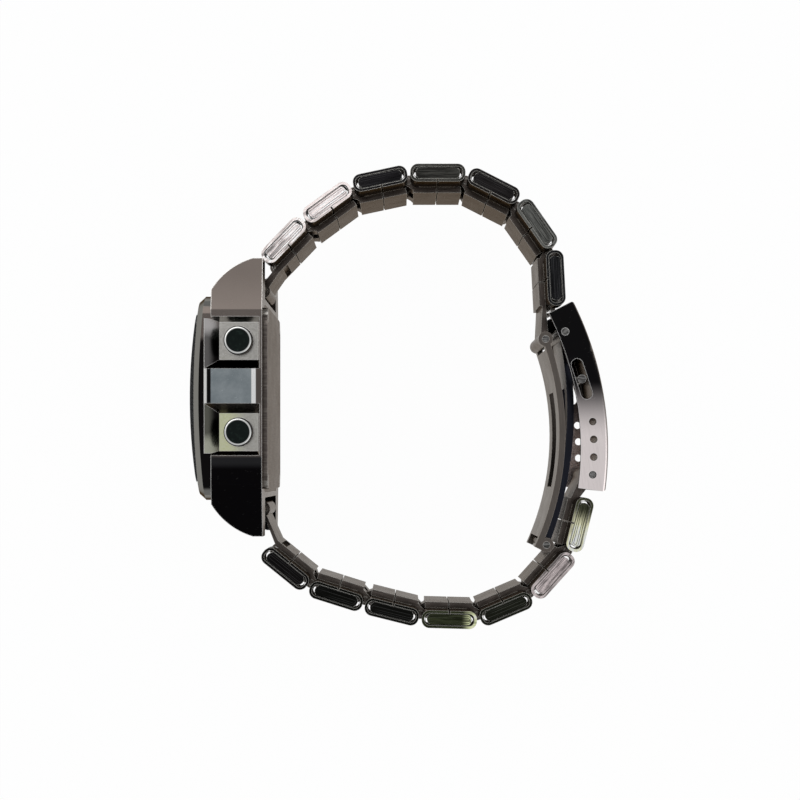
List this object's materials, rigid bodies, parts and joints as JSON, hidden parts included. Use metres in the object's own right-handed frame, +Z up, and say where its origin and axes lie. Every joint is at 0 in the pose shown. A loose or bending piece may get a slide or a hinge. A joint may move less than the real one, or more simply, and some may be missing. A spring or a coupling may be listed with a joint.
{
  "type": "digital watch",
  "caption": "Digital wrist watch lying on its side: steel case with recessed pushers, folded-link bracelet and folding clasp.",
  "frame": {"origin": "on the table, under the middle of the watch's bounding box, with the watch lying on the side away from its visible pushers", "axes": "+Z up across the strap, -X the way the dial looks, +Y from six o'clock to twelve o'clock"},
  "size_m": [0.0684, 0.0762, 0.034],
  "materials": {
    "polished_steel": "mirror polished, warm grey",
    "brushed_steel": "long fine brushing",
    "satin_steel": "fine satin",
    "spring_steel": "bright drawn wire",
    "pusher_steel": "dark polished",
    "crystal_clear": "clear and glossy",
    "mask_print": "black print with pale rules",
    "display_glass": "grey-green display",
    "black_rubber": "matt moulded rubber",
    "strip_rubber": "pale layered rubber",
    "frame_plastic": "moulded",
    "board_green": "green laminate",
    "chip_resin": "black resin",
    "cell_steel": "bright plated",
    "brass_sheet": "bright brass",
    "lamp_clear": "amber lens"
  },
  "bodies": {
    "case": {"case": "polished_steel", "bezel": "polished_steel", "crystal": "crystal_clear", "dial_mask": "mask_print", "display_panel": "display_glass", "contact_strips": "strip_rubber", "module_frame": "frame_plastic", "circuit_board": "board_green", "clock_chip": "chip_resin", "quartz_can": "cell_steel", "lamp": "lamp_clear", "battery": "cell_steel", "battery_clip": "spring_steel", "buzzer_disc": "brass_sheet", "back_gasket": "black_rubber", "case_back": "satin_steel", "case_back_screws": "polished_steel", "upper_spring_bar": "spring_steel", "light_pusher_spring": "spring_steel", "mode_pusher_spring": "spring_steel", "alarm_pusher_spring": "spring_steel", "adjust_pusher_spring": "spring_steel"},
    "light_pusher": {"light_pusher": "pusher_steel", "light_pusher_clip": "spring_steel"},
    "mode_pusher": {"mode_pusher": "pusher_steel", "mode_pusher_clip": "spring_steel"},
    "alarm_pusher": {"alarm_pusher": "pusher_steel", "alarm_pusher_clip": "spring_steel"},
    "adjust_pusher": {"adjust_pusher": "pusher_steel", "adjust_pusher_clip": "spring_steel"},
    "link_1": {"link_1": "brushed_steel"},
    "link_2": {"link_2": "brushed_steel"},
    "link_3": {"link_3": "brushed_steel"},
    "link_4": {"link_4": "brushed_steel"},
    "link_5": {"link_5": "brushed_steel"},
    "link_6": {"link_6": "brushed_steel"},
    "link_7": {"link_7": "brushed_steel"},
    "inner_blade": {"inner_blade": "polished_steel", "blade_end_pin": "spring_steel", "fold_pin": "spring_steel"},
    "middle_blade": {"middle_blade": "polished_steel"},
    "clasp_cover": {"clasp_cover": "brushed_steel", "cover_pin": "satin_steel", "adjusting_spring_bar": "spring_steel", "latch_bar": "polished_steel"},
    "link_8": {"link_8": "brushed_steel"},
    "link_9": {"link_9": "brushed_steel"},
    "link_10": {"link_10": "brushed_steel"},
    "link_11": {"link_11": "brushed_steel"},
    "link_12": {"link_12": "brushed_steel"},
    "link_13": {"link_13": "brushed_steel"},
    "link_14": {"link_14": "brushed_steel", "lower_spring_bar": "spring_steel"}
  },
  "joints": [
    {"name": "light_press", "type": "slide", "parent": "case", "child": "light_pusher", "axis": [0, 0, -1], "range_m": [0, 0.0007], "stiffness_N_per_m": 800, "springref_m": -0.0005, "deforming": ["light_pusher_spring"]},
    {"name": "mode_press", "type": "slide", "parent": "case", "child": "mode_pusher", "axis": [0, 0, -1], "range_m": [0, 0.0007], "stiffness_N_per_m": 800, "springref_m": -0.0005, "deforming": ["mode_pusher_spring"]},
    {"name": "alarm_press", "type": "slide", "parent": "case", "child": "alarm_pusher", "axis": [0, 0, 1], "range_m": [0, 0.0007], "stiffness_N_per_m": 800, "springref_m": -0.0005, "deforming": ["alarm_pusher_spring"]},
    {"name": "adjust_press", "type": "slide", "parent": "case", "child": "adjust_pusher", "axis": [0, 0, 1], "range_m": [0, 0.0007], "stiffness_N_per_m": 800, "springref_m": -0.0005, "deforming": ["adjust_pusher_spring"]},
    {"name": "link_1_hinge", "type": "hinge", "parent": "case", "child": "link_1", "pos_m": [-0.02287, 0.01785, 0.017], "axis": [0, 0, 1], "range_deg": [0, 44]},
    {"name": "link_2_hinge", "type": "hinge", "parent": "link_1", "child": "link_2", "pos_m": [-0.01531, 0.02863, 0.017], "axis": [0, 0, 1], "range_deg": [0, 10]},
    {"name": "link_3_hinge", "type": "hinge", "parent": "link_2", "child": "link_3", "pos_m": [-0.00767, 0.03418, 0.017], "axis": [0, 0, 1], "range_deg": [0, 24]},
    {"name": "link_4_hinge", "type": "hinge", "parent": "link_3", "child": "link_4", "pos_m": [0.00157, 0.03615, 0.017], "axis": [0, 0, 1], "range_deg": [0, 12]},
    {"name": "link_5_hinge", "type": "hinge", "parent": "link_4", "child": "link_5", "pos_m": [0.01102, 0.03615, 0.017], "axis": [0, 0, 1], "range_deg": [0, 27]},
    {"name": "link_6_hinge", "type": "hinge", "parent": "link_5", "child": "link_6", "pos_m": [0.01944, 0.03186, 0.017], "axis": [0, 0, 1], "range_deg": [0, 28]},
    {"name": "link_7_hinge", "type": "hinge", "parent": "link_6", "child": "link_7", "pos_m": [0.02486, 0.02411, 0.017], "axis": [0, 0, 1], "range_deg": [0, 32]},
    {"name": "clasp_top_hinge", "type": "hinge", "parent": "link_7", "child": "inner_blade", "pos_m": [0.02417, 0.00961, 0.017], "axis": [0, 0, 1], "range_deg": [0, 4]},
    {"name": "blade_fold", "type": "hinge", "parent": "inner_blade", "child": "middle_blade", "pos_m": [0.02433, -0.02445, 0.017], "axis": [0, 0, 1], "range_deg": [-165, 0]},
    {"name": "cover_swing", "type": "hinge", "parent": "middle_blade", "child": "clasp_cover", "pos_m": [0.02712, 0.01058, 0.017], "axis": [0, 0, 1], "range_deg": [0, 165]},
    {"name": "link_8_hinge", "type": "hinge", "parent": "clasp_cover", "child": "link_8", "pos_m": [0.0316, -0.01283, 0.017], "axis": [0, 0, 1], "range_deg": [0, 32.3]},
    {"name": "link_9_hinge", "type": "hinge", "parent": "link_8", "child": "link_9", "pos_m": [0.02793, -0.02547, 0.017], "axis": [0, 0, 1], "range_deg": [0, 28]},
    {"name": "link_10_hinge", "type": "hinge", "parent": "link_9", "child": "link_10", "pos_m": [0.02161, -0.03249, 0.017], "axis": [0, 0, 1], "range_deg": [0, 25]},
    {"name": "link_11_hinge", "type": "hinge", "parent": "link_10", "child": "link_11", "pos_m": [0.01291, -0.03619, 0.017], "axis": [0, 0, 1], "range_deg": [0, 24.5]},
    {"name": "link_12_hinge", "type": "hinge", "parent": "link_11", "child": "link_12", "pos_m": [0.00346, -0.03594, 0.017], "axis": [0, 0, 1], "range_deg": [0, 12.5]},
    {"name": "link_13_hinge", "type": "hinge", "parent": "link_12", "child": "link_13", "pos_m": [-0.00571, -0.03365, 0.017], "axis": [0, 0, 1], "range_deg": [0, 3.5]},
    {"name": "link_14_hinge", "type": "hinge", "parent": "link_13", "child": "link_14", "pos_m": [-0.01472, -0.03081, 0.017], "axis": [0, 0, 1], "range_deg": [0, 21.5]}
  ],
  "couplings": [
    {"joint": "blade_fold", "follows": "cover_swing", "ratio": -1}
  ]
}
